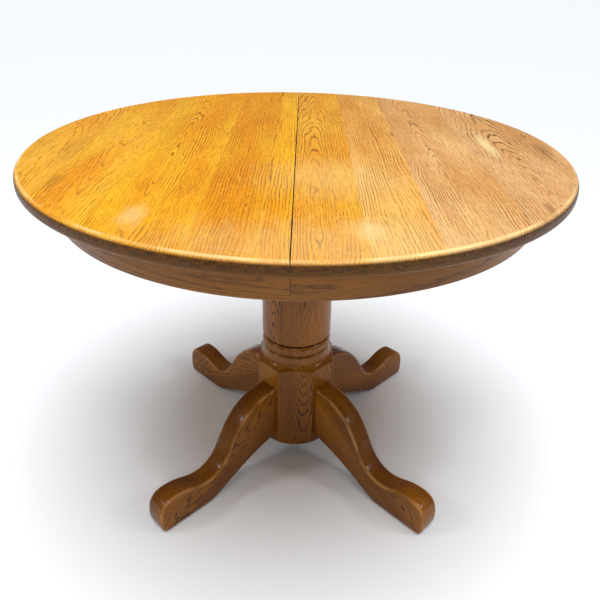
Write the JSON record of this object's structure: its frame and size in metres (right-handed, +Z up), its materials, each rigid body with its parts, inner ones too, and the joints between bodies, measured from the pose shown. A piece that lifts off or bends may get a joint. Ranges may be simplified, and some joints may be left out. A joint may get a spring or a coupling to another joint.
{
  "type": "round pedestal table",
  "caption": "Round wooden dining table on a turned column with scrolled legs; the top parts in the middle and its halves draw apart on geared slides.",
  "frame": {"origin": "on the floor under the middle of the table", "axes": "+Z up; X the way the halves draw apart, with +X to the right half; Y along the joint between them, with -Y at the front"},
  "size_m": [1.067, 1.067, 0.762],
  "materials": {
    "oak_top": "golden oak under satin varnish",
    "oak_base": "brown stained oak under gloss varnish",
    "plain_wood": "unvarnished hardwood",
    "steel": "zinc-plated steel",
    "nylon": "natural moulded nylon",
    "felt": "pressed felt"
  },
  "bodies": {
    "pedestal": {"pedestal_column": "oak_base", "pedestal_yoke": "plain_wood", "front_right_leg": "oak_base", "rear_right_leg": "oak_base", "rear_left_leg": "oak_base", "front_left_leg": "oak_base", "front_right_glide": "felt", "rear_right_glide": "felt", "rear_left_glide": "felt", "front_left_glide": "felt", "left_front_column_bolt": "steel", "left_rear_column_bolt": "steel", "right_front_column_bolt": "steel", "right_rear_column_bolt": "steel", "left_front_rail_bolt": "steel", "left_rear_rail_bolt": "steel", "right_front_rail_bolt": "steel", "right_rear_rail_bolt": "steel", "front_right_leg_bolt_lower": "steel", "front_right_leg_bolt_upper": "steel", "rear_right_leg_bolt_lower": "steel", "rear_right_leg_bolt_upper": "steel", "rear_left_leg_bolt_lower": "steel", "rear_left_leg_bolt_upper": "steel", "front_left_leg_bolt_lower": "steel", "front_left_leg_bolt_upper": "steel", "front_centre_rail": "plain_wood", "rear_centre_rail": "plain_wood", "front_pinion_pin": "steel", "rear_pinion_pin": "steel"},
    "left_half": {"left_top_half": "oak_top", "left_apron": "oak_base", "left_front_corner_block": "plain_wood", "left_front_slide_rail": "plain_wood", "left_front_rack": "nylon", "left_rear_corner_block": "plain_wood", "left_rear_slide_rail": "plain_wood", "left_rear_rack": "nylon", "front_lock_base": "steel", "rear_lock_base": "steel"},
    "right_half": {"right_top_half": "oak_top", "right_apron": "oak_base", "right_front_corner_block": "plain_wood", "right_front_slide_rail": "plain_wood", "right_front_rack": "nylon", "right_rear_corner_block": "plain_wood", "right_rear_slide_rail": "plain_wood", "right_rear_rack": "nylon", "front_lock_keeper": "steel", "rear_lock_keeper": "steel", "front_alignment_pin": "plain_wood", "middle_alignment_pin": "plain_wood", "rear_alignment_pin": "plain_wood"},
    "front_gear": {"front_pinion": "nylon"},
    "rear_gear": {"rear_pinion": "nylon"},
    "front_lock": {"front_lock_lever": "steel"},
    "rear_lock": {"rear_lock_lever": "steel"}
  },
  "joints": [
    {"name": "left_slide", "type": "slide", "parent": "pedestal", "child": "left_half", "axis": [-1, 0, 0], "range_m": [0, 0.25]},
    {"name": "right_slide", "type": "slide", "parent": "pedestal", "child": "right_half", "axis": [1, 0, 0], "range_m": [0, 0.25]},
    {"name": "front_gear_turn", "type": "hinge", "parent": "pedestal", "child": "front_gear", "pos_m": [0, -0.17, 0.7095], "axis": [0, 0, -1], "range_deg": [0, 796]},
    {"name": "rear_gear_turn", "type": "hinge", "parent": "pedestal", "child": "rear_gear", "pos_m": [0, 0.17, 0.7095], "axis": [0, 0, 1], "range_deg": [0, 796]},
    {"name": "front_lock_turn", "type": "hinge", "parent": "left_half", "child": "front_lock", "pos_m": [-0.037, -0.3, 0.7257], "axis": [0, 0, -1], "range_deg": [0, 90]},
    {"name": "rear_lock_turn", "type": "hinge", "parent": "left_half", "child": "rear_lock", "pos_m": [-0.037, 0.3, 0.7257], "axis": [0, 0, 1], "range_deg": [0, 90]}
  ],
  "couplings": [
    {"joint": "right_slide", "follows": "left_slide", "ratio": 1},
    {"joint": "front_gear_turn", "follows": "left_slide", "rad_per_m": 55.556},
    {"joint": "rear_gear_turn", "follows": "left_slide", "rad_per_m": 55.556}
  ]
}
